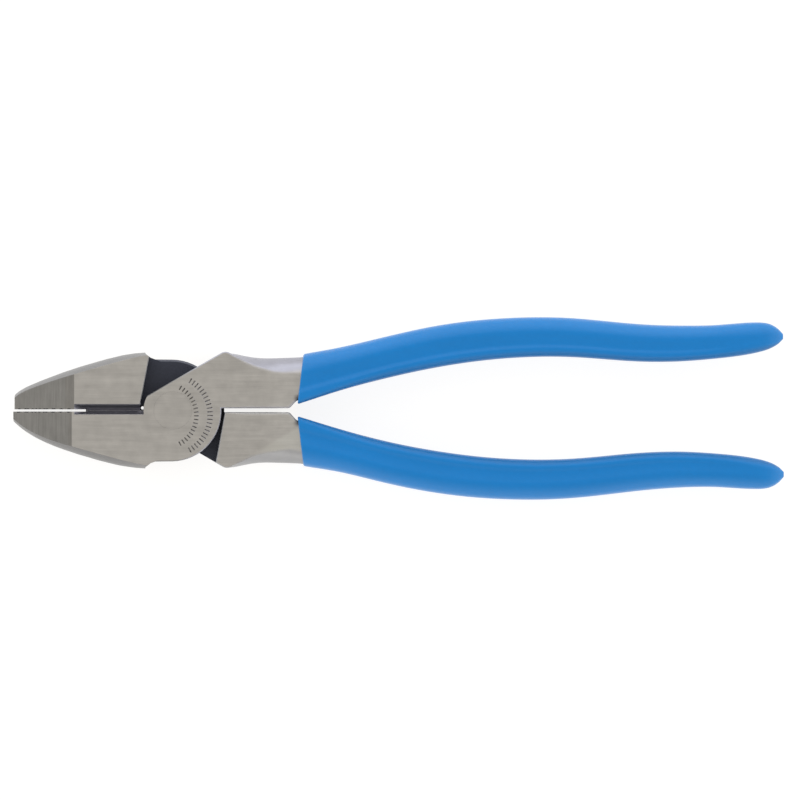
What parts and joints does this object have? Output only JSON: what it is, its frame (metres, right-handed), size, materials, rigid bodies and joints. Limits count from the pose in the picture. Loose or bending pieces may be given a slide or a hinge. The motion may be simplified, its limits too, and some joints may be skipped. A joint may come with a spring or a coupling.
{
  "type": "lineman pliers",
  "caption": "Side-cutting combination pliers: flat-nosed gripping jaws, cutter, half-lap pivot joint and dipped vinyl grips.",
  "frame": {"origin": "where the pivot axis meets the lower ground face, on which the closed pliers lie", "axes": "+X from the jaws towards the handles along the closing line, +Y across the tool in its plane, +Z along the pivot axis, up from the resting face"},
  "size_m": [0.2407, 0.0571, 0.015],
  "materials": {
    "forged_steel": "satin ground",
    "rivet_steel": "satin ground flush",
    "vinyl": "smooth dipped"
  },
  "bodies": {
    "rear": {"rear_half": "forged_steel", "rear_grip": "vinyl", "pivot_rivet": "rivet_steel"},
    "front": {"front_half": "forged_steel", "front_grip": "vinyl"}
  },
  "joints": [
    {"name": "pivot", "type": "hinge", "parent": "rear", "child": "front", "pos_m": [0, 0, 0.0075], "axis": [0, 0, 1], "range_deg": [0, 45]}
  ]
}
